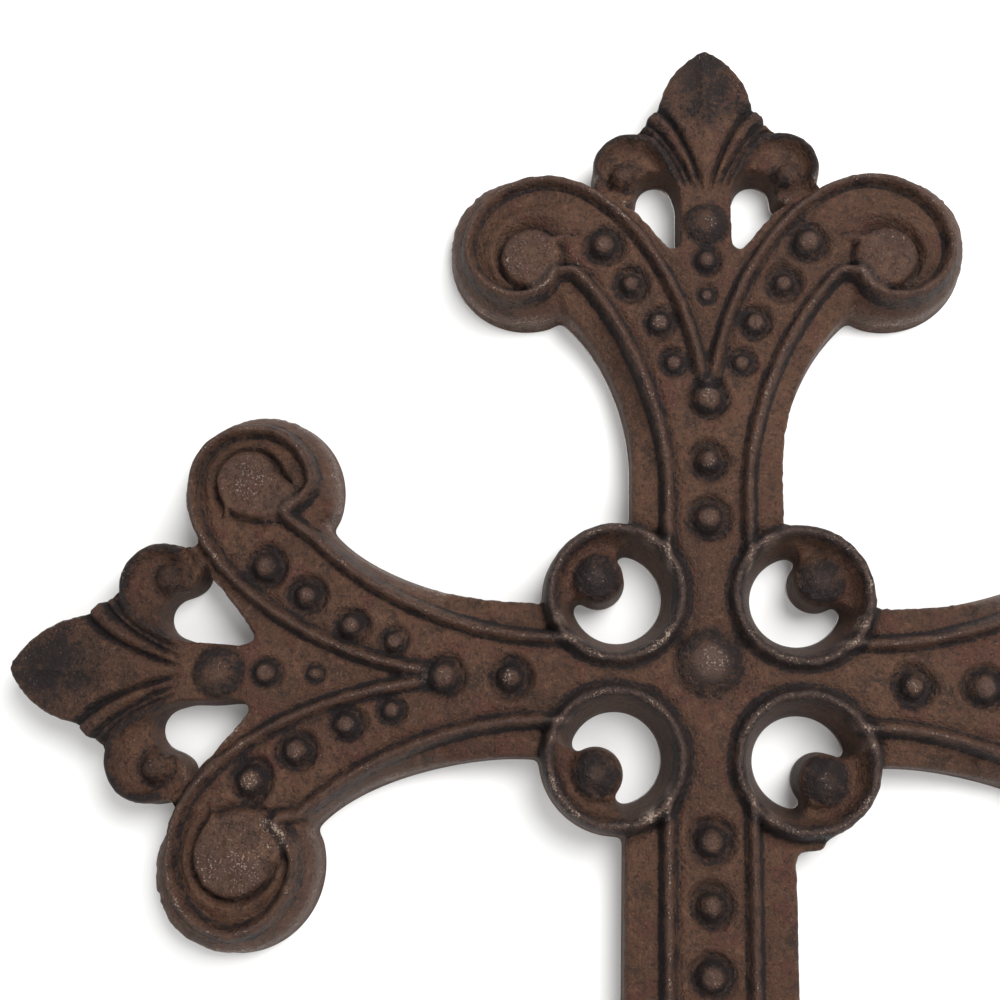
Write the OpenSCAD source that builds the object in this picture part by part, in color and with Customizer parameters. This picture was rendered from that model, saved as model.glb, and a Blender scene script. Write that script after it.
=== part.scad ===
// Cast iron wall cross with flared, scrolled ends.
// Upright as it hangs: +Z up, front towards -Y, flat back on the plane Y = 0.
// The origin is the mouth of the blind hanging hole in the back of the upper arm.

/* [Overall] */
// width over the two side tips
overall_w = 232; // [160:1:320]
// height from the foot tip to the top tip
overall_h = 330; // [240:1:460]
// distance from the middle of the rings to the top tip
top_arm = 111; // [90:1:150]
// thickness from the back to the top of the rims
thick = 10.5; // [7:0.5:16]

/* [Arms] */
// width of the straight top and side arms
arm_w = 25.6; // [20:0.2:32]
// width of the straight foot arm
foot_w = 27.3; // [21:0.1:34]
// drop of the side arms below the middle of the rings
arm_drop = 0.9; // [0:0.1:2]
// width over the two raised rims of a straight arm
field_w = 14.8; // [12:0.2:18]
// width of a raised rim
rim_w = 1.7; // [1:0.1:2.4]
// depth of the outer shoulder below the rims
shoulder_drop = 3.2; // [1.5:0.1:4.5]
// depth of the bead channel below the rims
floor_drop = 1.9; // [1:0.1:3]

/* [Flared ends] */
// radius of the wall round a scroll
volute_r = 13.9; // [11:0.1:16]
// distance of a scroll centre from the arm's middle line
volute_w = 31; // [26:0.2:36]
// radius of the flat eye in a scroll
eye_r = 5.1; // [3:0.1:6]
// radius of the larger eyes under the side arms
low_eye_r = 6.5; // [4:0.1:7.5]
// distance of the top and foot scroll centres from their tips
top_volute = 36.6; // [32:0.1:42]
// distance of the side scroll centres from their tips
side_volute = 40.2; // [34:0.1:46]
// distance of the top and foot forks from their tips
top_fork = 60; // [52:0.5:70]
// distance of the side forks from their tips
side_fork = 68.6; // [58:0.2:78]

/* [Finials] */
// length of the top and foot leaf finials
top_finial = 25.7; // [20:0.1:32]
// length of the side leaf finials
side_finial = 28; // [22:0.1:34]

/* [Beads] */
// radius of a bead
bead_r = 2.1; // [1.4:0.1:2.8]
// spacing of the beads along a straight arm
bead_pitch = 9.8; // [8:0.1:14]
// distance from the middle of the rings to the first bead up and down
bead_start = 25.3; // [22:0.1:32]
// distance from the middle of the rings to the first bead to the sides
side_bead_start = 32; // [26:0.1:38]

/* [Rings] */
// radius of the four rings
ring_r = 11.6; // [9:0.1:13]
// width of a ring's raised rim
ring_rim = 2.1; // [1.4:0.1:3]
// distance of a ring from the upright middle line
ring_x = 14.9; // [12:0.1:18]
// distance of a ring from the level middle line
ring_z = 13.1; // [11:0.1:16]
// radius of the round nub in a ring
nub_r = 4.2; // [3:0.1:5]
// radius of the boss
boss_r = 5; // [3:0.1:6]
// height of the boss above the middle of the rings
boss_up = 2.2; // [0:0.1:4]

/* [Hanger] */
// height of the hanging hole above the middle of the rings
hang_h = 40; // [30:1:44]
// radius of the hanging hole
hang_r = 3.5; // [2:0.1:5]
// depth of the hanging hole
hang_depth = 4.5; // [3:0.1:6]

/* [Hidden] */
$fn = 48;

lap = 0.4;
join = 0.15;
cut = 1;
iron = [0.31, 0.25, 0.22];

shoulder_t = thick - shoulder_drop;
floor_t = thick - floor_drop;
foot_arm = overall_h - top_arm;
side_arm = overall_w / 2;

// scroll of a half end: step of its eye from the centre of its wall, eye radius,
// and reach of its rim from the eye, as shares of volute_r: inner turn, back, side, front
scroll_plain = [[-1, -3.6], eye_r, [0.36, 0.53, 0.84, 1.11], -145];
scroll_high = [[0.7, 1.1], eye_r, [0.446, 0.85, 0.72, 0.74], -125];
scroll_low = [[-2.2, -0.8], low_eye_r, [0.518, 0.741, 0.942, 0.806], -125];
front_angle = 98;
// the wall round a scroll runs from the neck of the arm to inside the fork
neck_angle = 245;
wall_end_angle = 465;

// bends of a branch, drawn for a scroll flare_w from the middle line; heights are from the fork
flare_w = 31;
rim_leave = [-21, -8.5];
rim_bend = [[14, 8], [22.9, 16.8]];
rim_turn = [0.85, 0.8];
rim_fork = [0.22, 0.54];
base_leave = [-17, -8];
neck_bend = [[8.5, 6.5], [0, -0.6]];

// leaf finial, drawn at its full size for a length of finial_l
finial_l = 25.7;
curl_at = [13.2, 2.9];
curl_r = 6.8;
ball_at = [14.2, 1.5];
ball_r = 2.3;
step_at = [8.4, 13.8];
neck_w = 8.8;
neck_l = 9;
root_at = [19, -4];
tuck_bend = [[10.9, 10.1], [11, 12], [9.6, 13.3]];
leaf_bend = [[8, 19], [4.6, 23.4]];
// raised middle of the leaf, half, from its foot to its tip
rib_from = [2.4, -1];
rib_bend = [[7.2, 12.5], [6.8, 18], [3.6, 22.4]];
rib_tip = 24.3;
crotch_top = [6, 7];
knob_back = 8;
knob_r = 4.3;
hole_at = [8.6, -0.7];
hole_r = 3.7;
// edge of the plate inside a fork: distance from the middle line and from the tip
top_web = [[12.4, 30.6], [5, 39.4]];
side_web = [[15.8, 34.2], [5.2, 42.4]];

// where the row of beads on a branch starts and how far it runs
top_row = [0.4, 22.5];
side_row = [2.6, 23.6];
row_in = 5.5;
row_out = 12.6;
row_bend = 1.45;
row_at = [0.03, 0.34, 0.67, 0.97];
row_share = 0.95;
stem_end = 5.2;
// beads between the branches: place from the fork to the knob, and share of bead_r
crotch_beads = [[0.5, 0.6], [0.75, 0.85]];
knob_cap = 0.75;
ball_low = 0.6;

fork_lip = 0.6;
ring_wall = 1;
ring_taper = 2;
nub_out = 4.1;
nub_web = 6;
nub_drop = 3.9;
nub_up = 2.1;
eye_drop = 0.4;
// ledge of metal left between the foot arm and the lower right ring: corners from the ring's centre
ledge = [[-2.5, -11], [-2.5, -14.1], [2.9, -13.6], [5.2, -11]];

function bez(a, b, c, d, n) = [for (i = [0:n]) let (t = i / n)
    pow(1 - t, 3) * a + 3 * pow(1 - t, 2) * t * b + 3 * (1 - t) * t * t * c + t * t * t * d];
function arc(c, r, a0, a1, n) = [for (i = [0:n]) let (a = a0 + (a1 - a0) * i / n)
    c + r * [cos(a), sin(a)]];
function turn_r(a, q) = volute_r * exp(a < -90 ? lerp(ln(q[0]), ln(q[1]), (a + 180) / 90) :
    a < 0 ? lerp(ln(q[1]), ln(q[2]), (a + 90) / 90) : lerp(ln(q[2]), ln(q[3]), a / front_angle));
function lerp(a, b, t) = a + (b - a) * t;
function unit(v) = v / norm(v);
// moves every point of a line to its left by d
function inset(p, d) = [for (i = [0:len(p) - 1])
    let (t = unit(p[min(i + 1, len(p) - 1)] - p[max(i - 1, 0)])) p[i] + d * [-t[1], t[0]]];

// an end e: reach, fork, scroll centre, finial length, plate edge, bead row, width, its two scrolls
function wall_c(e) = [volute_w, e[0] - e[2]];
function eye(e, h) = wall_c(e) + h[0];
function coil(e, h, a0, n) = [for (i = [0:n]) let (a = a0 + (front_angle - a0) * i / n)
    eye(e, h) + turn_r(a, h[2]) * [cos(a), sin(a)]];
function fork_u(e) = e[0] - e[1];
function base_u(e) = e[0] - e[3];
function size_k(e) = e[3] / finial_l;
function rim_out(e) = let (v = fork_u(e), k = volute_w / flare_w)
    bez([field_w / 2, v + rim_leave[0]], [field_w / 2, v + rim_leave[1]],
        [k * rim_bend[0][0], v + rim_bend[0][1]], [k * rim_bend[1][0], v + rim_bend[1][1]], 10);
function rim_in(e, h) = let (s = coil(e, h, 0, 8)[8], v = fork_u(e), d = s[1] - v)
    bez(s, s + [-volute_r * rim_turn[0], rim_turn[1]], [field_w * rim_fork[0], v + rim_fork[1] * d], [join, v - 1], 12);
function from(p, n) = [for (i = [n:len(p) - 1]) p[i]];
function web(e) = [for (q = e[4]) [q[0], e[0] - q[1]]];

top_end = [top_arm, top_fork, top_volute, top_finial, top_web, top_row, arm_w, [scroll_plain, scroll_plain]];
foot_end = [foot_arm, top_fork, top_volute, top_finial, top_web, top_row, foot_w, [scroll_plain, scroll_plain]];
left_end = [side_arm, side_fork, side_volute, side_finial, side_web, side_row, arm_w, [scroll_high, scroll_low]];
right_end = [side_arm, side_fork, side_volute, side_finial, side_web, side_row, arm_w, [scroll_low, scroll_high]];

// shoulder outline of half an end
module half_base(e, h) {
    v = fork_u(e);
    w = e[6] / 2;
    neck = wall_c(e) + volute_r * [cos(neck_angle), sin(neck_angle)];
    polygon(concat([[0, 0], [w, 0]],
        bez([w, v + base_leave[0]], [(w + arm_w / 2) / 2, v + base_leave[1]], neck - neck_bend[0], neck - neck_bend[1], 10),
        arc(wall_c(e), volute_r, neck_angle + 5, wall_end_angle, 22),
        from(inset(rim_in(e, h), -fork_lip), 3), [[0, v]]));
}

// raised field of half an end, out to the outer edge of the rims
module half_field(e, h) {
    polygon(concat([[0, ring_z], [field_w / 2, ring_z]], rim_out(e), coil(e, h, h[3], 22),
        from(rim_in(e, h), 1), [[0, fork_u(e) - 1]]));
}

// channel inside the rims of half an end
module half_channel(e, h) {
    polygon(concat([[0, -lap], [field_w / 2 - rim_w, 0]], inset(rim_out(e), rim_w),
        inset(coil(e, h, h[3] + 20, 20), rim_w), from(inset(rim_in(e, h), rim_w), 1),
        [[-lap, fork_u(e) - 3 * rim_w]]));
}

// plate between the branches of a fork, half
module half_crotch(e, h) {
    p = rim_in(e, h);
    polygon(concat([[0, fork_u(e) - 2]], [for (i = [12:-1:0]) if (p[i][1] < web(e)[0][1] + 2) p[i]],
        [[crotch_top[0], base_u(e) - crotch_top[1]], [0, base_u(e) - crotch_top[1]]]));
}

// leaf finial outline, half, standing on the end of the fork
module half_finial(e) {
    k = size_k(e);
    b = base_u(e);
    o = [0, b];
    w = neck_w / 2 * k;
    polygon(concat([[0, b - neck_l], [w, b - neck_l], [w, b - 1], o + k * root_at],
        arc(o + k * curl_at, curl_r * k, -20, 100, 12),
        bez(o + k * tuck_bend[0], o + k * tuck_bend[1], o + k * tuck_bend[2], o + k * step_at, 4),
        bez(o + k * step_at, o + k * leaf_bend[0], o + k * leaf_bend[1], o + k * [0, finial_l], 8)));
}

// opening beside the neck of the finial
module eyelet(e) {
    k = size_k(e);
    b = base_u(e);
    p = web(e)[0];
    q = web(e)[1];
    polygon(concat(arc([0, b] + k * hole_at, hole_r * k, 190, 0, 10),
        bez(p + [0, 2], p, lerp(p, q, 0.4) + [0.5, 0.5], q, 4),
        [[q[0] - 0.8, q[1] + 4], [neck_w / 2 * k, b - neck_l * k]]));
}

// places a drawing on each of the four arms
module at_top() { children(); }
module at_foot() { rotate(180) children(); }
module at_right() { translate([0, -arm_drop]) rotate(-90) children(); }
module at_left() { translate([0, -arm_drop]) rotate(90) children(); }

module slab(t) linear_extrude(t) children();

module dome(p, r, base_t, up) {
    // a cap of radius r standing up above base_t
    s = (r * r + up * up) / (2 * up);
    translate([p[0], p[1], base_t]) intersection() {
        translate([0, 0, up - s]) sphere(s);
        cylinder(r = s + cut, h = up + cut);
    }
}

module end_plate(e) {
    slab(shoulder_t) for (i = [0, 1]) mirror([i, 0]) {
        half_base(e, e[7][i]);
        half_finial(e);
    }
    translate([0, 0, lap]) slab(floor_t - lap) for (i = [0, 1]) mirror([i, 0]) half_crotch(e, e[7][i]);
}

module end_relief(e) {
    difference() {
        translate([0, 0, lap]) slab(thick - lap) for (i = [0, 1]) mirror([i, 0]) half_field(e, e[7][i]);
        translate([0, 0, floor_t]) slab(thick) for (i = [0, 1]) mirror([i, 0]) half_channel(e, e[7][i]);
    }
}

module eyes(e) {
    for (i = [0, 1]) mirror([i, 0]) translate(concat(eye(e, e[7][i]), cut))
        cylinder(r = e[7][i][1], h = thick - eye_drop - cut);
}

module leaf(e) {
    k = size_k(e);
    o = [0, base_u(e)];
    translate([0, 0, cut]) slab(floor_t - cut) for (i = [0, 1]) mirror([i, 0])
        polygon(concat([o + k * [0, rib_from[1]], o + k * rib_from],
            bez(o + k * rib_bend[0], o + k * rib_bend[1], o + k * rib_bend[2], o + k * [0, rib_tip], 8)));
}

// beads along a branch of the fork
function row(e) = [for (t = row_at) [(row_in + row_out * pow(t, row_bend)) * volute_w / flare_w,
    fork_u(e) + e[5][0] + e[5][1] * t]];

module end_beads(e, start) {
    v = fork_u(e);
    b = base_u(e);
    k = size_k(e);
    last = v - stem_end;
    n = max(1, round((last - start) / bead_pitch));
    for (i = [0:n]) dome([0, lerp(start, last, i / n)], bead_r, floor_t - lap, floor_drop + lap);
    for (p = row(e), s = [-1, 1]) dome([s * p[0], p[1]], bead_r * row_share, floor_t - lap, floor_drop + lap);
    // two beads and a knob between the branches
    gap = b - knob_back - v;
    for (q = crotch_beads) dome([0, v + gap * q[0]], bead_r * q[1], floor_t - lap, floor_drop + lap * q[0] / 2);
    translate([0, b - knob_back, cut]) cylinder(r = knob_r * k, h = floor_t - cut);
    dome([0, b - knob_back], knob_r * knob_cap * k, floor_t - lap, floor_drop + lap);
    for (s = [-1, 1]) dome([s * ball_at[0] * k, b + ball_at[1] * k], ball_r * k, shoulder_t - lap, shoulder_drop - ball_low);
}

module rings() {
    for (x = [-1, 1], z = [-1, 1]) translate([x * ring_x, z * ring_z, 0]) {
        cylinder(r = ring_r + ring_wall, h = shoulder_t - lap);
        translate([0, 0, cut]) cylinder(r = ring_r, h = thick - cut);
    }
}

module ring_holes() {
    hole = ring_r - ring_rim;
    for (x = [-1, 1], z = [-1, 1]) translate([x * ring_x, z * ring_z, -cut])
        cylinder(r1 = hole - ring_taper, r2 = hole, h = thick + 2 * cut);
}

// round nub reaching into each ring from its outer corner
module nubs() {
    nub_t = thick - nub_drop;
    web_l = ring_r - ring_rim / 2 - nub_out;
    for (x = [-1, 1], z = [-1, 1]) {
        d = unit([x * ring_x, z * ring_z]);
        c = [x * ring_x, z * ring_z] + nub_out * d;
        translate(concat(c, 0)) cylinder(r = nub_r, h = nub_t);
        translate(concat(c + web_l / 2 * d, nub_t / 2)) rotate(atan2(d[1], d[0]))
            cube([web_l, 2 * nub_web, nub_t - lap], center = true);
        dome(c, nub_r - lap, nub_t - lap, nub_up + lap);
    }
}

module cross() {
    color(iron) rotate([90, 0, 0]) translate([0, -hang_h, 0]) difference() {
        union() {
            difference() {
                union() {
                    at_top() end_plate(top_end);
                    at_foot() end_plate(foot_end);
                    at_left() end_plate(left_end);
                    at_right() end_plate(right_end);
                    at_top() end_relief(top_end);
                    at_foot() end_relief(foot_end);
                    at_left() end_relief(left_end);
                    at_right() end_relief(right_end);
                    translate([0, 0, lap]) slab(floor_t - lap) square([2 * ring_x, 2 * ring_z], center = true);
                    rings();
                    slab(shoulder_t - 2 * lap) translate([ring_x, -ring_z]) polygon(ledge);
                }
                ring_holes();
                translate([0, 0, -cut]) slab(thick + 2 * cut) for (i = [0, 1]) mirror([i, 0]) {
                    at_top() eyelet(top_end);
                    at_foot() eyelet(foot_end);
                    at_left() eyelet(left_end);
                    at_left() mirror([1, 0]) eyelet(left_end);
                }
            }
            nubs();
            dome([0, boss_up], boss_r, floor_t - lap, floor_drop + lap);
            at_top() eyes(top_end);
            at_foot() eyes(foot_end);
            at_left() eyes(left_end);
            at_right() eyes(right_end);
            at_top() leaf(top_end);
            at_foot() leaf(foot_end);
            at_left() leaf(left_end);
            at_right() leaf(right_end);
            at_top() end_beads(top_end, bead_start);
            at_foot() end_beads(foot_end, bead_start);
            at_left() end_beads(left_end, side_bead_start);
            at_right() end_beads(right_end, side_bead_start);
        }
        translate([0, hang_h, -cut]) cylinder(r = hang_r, h = hang_depth + cut);
    }
}

cross();
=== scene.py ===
import bpy
import math
import numpy as np
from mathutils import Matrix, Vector, geometry, kdtree, noise


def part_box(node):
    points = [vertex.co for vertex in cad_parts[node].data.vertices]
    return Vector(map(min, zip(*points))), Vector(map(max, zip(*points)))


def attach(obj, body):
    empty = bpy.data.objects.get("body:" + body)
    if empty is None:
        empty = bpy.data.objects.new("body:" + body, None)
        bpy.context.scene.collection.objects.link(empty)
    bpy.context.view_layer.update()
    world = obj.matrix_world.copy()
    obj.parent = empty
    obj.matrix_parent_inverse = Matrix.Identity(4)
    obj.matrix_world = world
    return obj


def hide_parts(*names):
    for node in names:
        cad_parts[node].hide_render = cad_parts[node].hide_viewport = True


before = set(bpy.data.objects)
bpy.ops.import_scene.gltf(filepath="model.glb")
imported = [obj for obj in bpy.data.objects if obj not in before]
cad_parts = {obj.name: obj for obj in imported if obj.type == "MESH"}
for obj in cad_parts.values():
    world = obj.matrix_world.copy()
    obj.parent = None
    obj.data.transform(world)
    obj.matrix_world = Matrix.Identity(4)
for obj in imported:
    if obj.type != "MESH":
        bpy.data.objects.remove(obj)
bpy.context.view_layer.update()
low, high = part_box("cross")

# ---------------------------------------------------------------- sizes, in millimetres
MM = 0.001
THICK = -low[1] / MM                     # back to rim tops
SIDE_ARM = (high[0] - low[0]) / 2 / MM
HANG_H = 40.0                            # hanging hole above the middle of the rings
TOP_ARM = high[2] / MM + HANG_H
FOOT_ARM = -low[2] / MM - HANG_H
HANG_R, HANG_DEPTH = 3.5, 4.5
ARM_W, FOOT_W, FIELD_W, RIM_W = 25.6, 27.3, 14.8, 1.7
ARM_DROP = 0.9                           # side arms below the middle of the rings
SHOULDER = THICK - 3.2
FIELD = THICK - 1.45                     # soft ground between the beads
VOLUTE_R, VOLUTE_W = 13.9, 31.0
BEAD_R, BEAD_PITCH = 2.1, 9.8
RING_R, RING_X, RING_Z, RING_RIM = 11.6, 14.9, 13.1, 2.1
RING_BACK_R = 7.5                        # opening of a ring at the back
RING_SKIRT = 1.0                         # metal round a ring
NUB_R, NUB_OUT = 4.2, 4.1
NUB_WEB, NUB_WEB_BACK = 7.4, 6.0
LEDGE = ((-2.5, -11.0), (-2.5, -14.1), (2.9, -13.6), (5.2, -11.0))   # metal left beside the lower right ring
BOSS_R, BOSS_UP = 5.0, 2.2
DRAFT, EDGE_R = 0.3, 0.75
FRONT_ANGLE, NECK_ANGLE, WALL_END_ANGLE = 98.0, 245.0, 465.0   # of a scroll and the wall round it
COIL_TURN = (-180, -90, 0, FRONT_ANGLE)  # angles round an eye at which the rim's radius is stated
STEM_END = 5.2                           # last bead of a straight arm, before the fork
EYELET_DRAFT = 0.45                      # an eyelet's wall slopes more

# mesh: spacing along the edges and over the front, rows down a wall, sides of the hanging hole
STEP, FILL, WALL_ROWS, HOLE_SIDES = 0.62, 0.72, 4, 48
SCRAP = 4.0                              # area under which a leftover loop is dropped
SIDE_END_LOW, FOOT_END_HIGH = 46.0, 110.0   # side ends' reach down, foot end's reach up from its tip
# painted light: values of the wear mask on the walls; the outer walls' high value lifts them to the lighter
# sheen tint, as if lit from below, the walls of holes get little, and the back edge a middle value
OUTER_WALL_LIGHT, HOLE_WALL_LIGHT, BACK_EDGE_WEAR_AND_SHEEN = 0.6, 0.15, 0.35

# leaf finial at its full length, from the middle of its foot: (across, up)
FINIAL_L = 25.7
NECK, NECK_L = 4.4, 9.0
KNOB_BACK, KNOB_R = 8.0, 4.3
CURL_AT, CURL_R, TUBE_R = (13.2, 2.9), 6.8, 5.75
BALL_AT, BALL_R = (14.2, 1.5), 2.3
HOLE_AT, HOLE_R = (8.6, -0.7), 3.7
ROOT_AT, STEP_AT, TIP = (19.0, -4.0), (8.4, 13.8), (0.0, 25.65)
TUCK_BEND, LEAF_BEND = ((10.9, 10.1), (11.0, 12.0), (9.6, 13.3)), ((8.0, 19.0), (4.6, 23.4))
GROOVES = (                              # grooves of the flutes, each a curve
    (STEP_AT, (5.4, 12.0), (3.0, 7.5), (0.7, -1.5)),
    ((10.7, 11.2), (8.0, 10.3), (5.0, 6.0), (2.1, -1.2)),
    ((11.0, 9.4), (10.0, 9.6), (6.6, 7.8), (3.6, -0.6)))
LEAF_W = ((5, 9.0), (13.8, 8.3), (17, 7.0), (20, 5.2), (23, 2.8), (25.7, 0.6))   # (up, half width)


def bez(a, b, c, d, n):
    """A Bezier curve."""
    a, b, c, d = (np.asarray(q, float) for q in (a, b, c, d))
    t = np.linspace(0, 1, n + 1)[:, None]
    return (1 - t) ** 3 * a + 3 * (1 - t) ** 2 * t * b + 3 * (1 - t) * t * t * c + t ** 3 * d


def arc(c, r, a0, a1, n):
    """Points round a centre, from one angle to another in degrees."""
    a = np.radians(np.linspace(a0, a1, n + 1))
    return np.asarray(c, float) + r * np.stack([np.cos(a), np.sin(a)], 1)


def normals(p):
    """Unit left normals of an open line."""
    t = np.gradient(p, axis=0)
    t /= np.maximum(np.linalg.norm(t, axis=1), 1e-9)[:, None]
    return np.stack([-t[:, 1], t[:, 0]], 1)


def inset(p, d):
    """An open line moved to its left."""
    return p + d * normals(p)


def resample(p, step, closed=False):
    """The same line with even points."""
    if closed:
        p = np.vstack([p, p[:1]])
    seg = np.linalg.norm(np.diff(p, axis=0), axis=1)
    at = np.concatenate([[0], np.cumsum(seg)])
    n = max(4, int(round(at[-1] / step)))
    s = np.linspace(0, at[-1], n + 1)
    out = np.stack([np.interp(s, at, p[:, 0]), np.interp(s, at, p[:, 1])], 1)
    return out[:-1] if closed else out


def smooth(lo, hi, x):
    """A smooth step from 0 at lo to 1 at hi, where lo may be the larger."""
    t = np.clip((x - lo) / (hi - lo), 0, 1)
    return t * t * (3 - 2 * t)


def ripple(p, wave, seed):
    """A smooth random field of about unit height, the same on every run."""
    rng = np.random.default_rng(seed)
    out = np.zeros(len(p))
    for _ in range(10):
        t, f = rng.uniform(0, 2 * math.pi), 2 * math.pi / (wave * rng.uniform(0.7, 1.6))
        out += np.sin(f * (p[:, 0] * math.cos(t) + p[:, 1] * math.sin(t)) + rng.uniform(0, 2 * math.pi))
    return out / 3


def dome(r, radius, power=2.0):
    """1 at the middle of a round boss, 0 at its radius and beyond."""
    return np.clip(1 - (r / radius) ** power, 0, 1)


def bell(x, width):
    return np.exp(-(x / width) ** 2)


def place(name, data):
    ob = bpy.data.objects.new(name, data)
    bpy.context.scene.collection.objects.link(ob)
    return ob


def inside(p, poly):
    """Which points are inside a closed polygon."""
    x, y = p[:, 0], p[:, 1]
    hit = np.zeros(len(p), bool)
    j = len(poly) - 1
    for i in range(len(poly)):
        (xi, yi), (xj, yj) = poly[i], poly[j]
        if yi != yj:
            hit ^= ((yi > y) != (yj > y)) & (x < (xj - xi) * (y - yi) / (yj - yi) + xi)
        j = i
    return hit


class Near:
    """Distance from points to a set of lines, from close samples with their tangents."""

    def __init__(self, lines, step=0.2, closed=False):
        pts, tan = [], []
        for line in lines:
            q = resample(np.asarray(line, float), step, closed)
            t = np.roll(q, -1, 0) - np.roll(q, 1, 0) if closed else np.gradient(q, axis=0)
            pts.append(q)
            tan.append(t / np.maximum(np.linalg.norm(t, axis=1), 1e-9)[:, None])
        self.p, self.t, self.step = np.vstack(pts), np.vstack(tan), step
        self.tree = kdtree.KDTree(len(self.p))
        for i, q in enumerate(self.p):
            self.tree.insert((q[0], q[1], 0.0), i)
        self.tree.balance()

    def find(self, p):
        """Distance and nearest sample of each point."""
        idx = np.array([self.tree.find((x, y, 0.0))[1] for x, y in p], int).reshape(-1)
        d = p - self.p[idx]
        along = np.clip(np.einsum("ij,ij->i", d, self.t[idx]), -self.step / 2, self.step / 2)
        return np.sqrt(np.maximum((d ** 2).sum(1) - along ** 2, 0)), idx


class End:
    """One flared end, in its own plan: a across from the arm's middle line, u out from the rings' middle.

    Its fork, volute, finial and web are given by how far they are in from the tip.
    """

    def __init__(self, name, turn, reach, fork, volute, finial, web, bead_start, halves):
        self.name, self.turn, self.reach = name, math.radians(turn), reach
        self.sideways = abs(turn) == 90
        self.half_w = (FOOT_W if name == "foot" else ARM_W) / 2
        self.v = reach - fork
        self.centre = np.array([VOLUTE_W, reach - volute])
        self.k = finial / FINIAL_L
        self.base = reach - finial
        self.web = [np.array([a, reach - u]) for a, u in web]
        self.bead_start = bead_start
        self.halves = [Half(self, s, *h) for s, h in zip((1, -1), halves)]

    def on_finial(self, q):
        """A place on the finial at this end's scale."""
        return np.array([0.0, self.base]) + self.k * np.array(q)

    def stem_beads(self):
        last = self.v - STEM_END
        n = max(1, round((last - self.bead_start) / BEAD_PITCH))
        return [(0.0, self.bead_start + (last - self.bead_start) * i / n) for i in range(n + 1)]

    def row_beads(self):
        rise, lift = (23.6, 2.6) if self.sideways else (22.5, 0.4)
        return [(5.5 + 12.6 * t ** 1.45, self.v + lift + rise * t) for t in (0.03, 0.34, 0.67, 0.97)]

    def plan(self, p):
        """Own plan to the whole cross's plan, with the middle of the rings at the origin."""
        c, s = math.cos(self.turn), math.sin(self.turn)
        p = np.asarray(p, float)
        return np.stack([p[:, 0] * c - p[:, 1] * s, p[:, 0] * s + p[:, 1] * c - ARM_DROP * self.sideways], 1)

    def own(self, p):
        """The whole cross's plan to this end's own."""
        c, s = math.cos(self.turn), math.sin(self.turn)
        x, z = p[:, 0], p[:, 1] + ARM_DROP * self.sideways
        return np.stack([x * c + z * s, -x * s + z * c], 1)


class Half:
    """One half of an end: its volute's eye and the lines of its rims."""

    def __init__(self, e, sign, eye, eye_r, radii):
        self.e, self.sign, self.eye_r, self.radii = e, sign, eye_r, radii
        self.eye = np.array([eye[0], e.reach - eye[1]])

    def coil(self, start, step=3.0):
        """Outer edge of the rim from the inside of the scroll out to its front."""
        a = np.arange(start, FRONT_ANGLE + 0.01, step)
        r = np.exp(np.interp(a, COIL_TURN, np.log(self.radii)))
        t = np.radians(a)
        return self.eye + r[:, None] * np.stack([np.cos(t), np.sin(t)], 1)

    def rim_out(self):
        """Outer edge of the rim from the straight arm to the scroll."""
        v = self.e.v
        return bez((FIELD_W / 2, v - 21), (FIELD_W / 2, v - 8.5), (14.0, v + 8), (22.9, v + 16.8), 30)

    def rim_in(self):
        """Edge of the rim from the scroll's front back into the fork."""
        s, v = self.coil(0.0)[-1], self.e.v
        d = s[1] - v
        bends = s + np.array([-VOLUTE_R * 0.85, 0.8]), (FIELD_W * 0.22, v + 0.54 * d)
        return bez(s, *bends, (0.15, v - 1.0), 36)


# a scroll: its eye across and in from the tip, the eye's radius, and the rim's radii at COIL_TURN
UPRIGHT = ((30.0, 40.2), 5.1, (5.0, 7.4, 11.7, 15.4))
SIDE_UPPER = ((31.7, 39.1), 5.2, (6.2, 11.8, 10.0, 10.3))
SIDE_LOWER = ((28.8, 41.0), 6.5, (7.2, 10.3, 13.1, 11.2))
WEB, SIDE_WEB = ((12.4, 30.6), (5.0, 39.4)), ((15.8, 34.2), (5.2, 42.4))   # edge of the plate inside the fork
ENDS = [
    End("top", 0, TOP_ARM, 60.0, 36.6, 25.7, WEB, 25.3, (UPRIGHT, UPRIGHT)),
    End("foot", 180, FOOT_ARM, 60.0, 36.6, 25.7, WEB, 25.3, (UPRIGHT, UPRIGHT)),
    End("left", 90, SIDE_ARM, 68.6, 40.2, 28.0, SIDE_WEB, 32.0, (SIDE_UPPER, SIDE_LOWER)),
    End("right", -90, SIDE_ARM, 68.6, 40.2, 28.0, SIDE_WEB, 32.0, (SIDE_LOWER, SIDE_UPPER)),
]
QUADRANTS = [(x, z) for x in (-1, 1) for z in (-1, 1)]


# ---------------------------------------------------------------- outline
def half_base(h):
    """The shoulder plate: straight arm, flare, wall round the scroll and back along the inner rim."""
    e = h.e
    neck = arc(e.centre, VOLUTE_R, NECK_ANGLE, NECK_ANGLE, 1)[0]
    bend = ((e.half_w + ARM_W / 2) / 2, e.v - 8)
    flare = bez((e.half_w, e.v - 17), bend, neck - (8.5, 6.5), neck + (0, 0.6), 24)
    scroll = arc(e.centre, VOLUTE_R, NECK_ANGLE + 5, WALL_END_ANGLE, 64)
    return np.vstack([[(0, 0), (e.half_w, 0)], flare, scroll, inset(h.rim_in(), -0.6)[9:], [(0, e.v)]])


def half_crotch(h):
    """The plate between the two branches of a fork."""
    e, p = h.e, h.rim_in()[::-1]
    return np.vstack([[(0, e.v - 2)], p[p[:, 1] < e.web[0][1] + 2], [(6, e.base - 7), (0, e.base - 7)]])


def lobe(e):
    """The round plate under the knob."""
    return arc((0, e.base - KNOB_BACK), NECK * e.k, 0, 350, 35)


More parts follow.
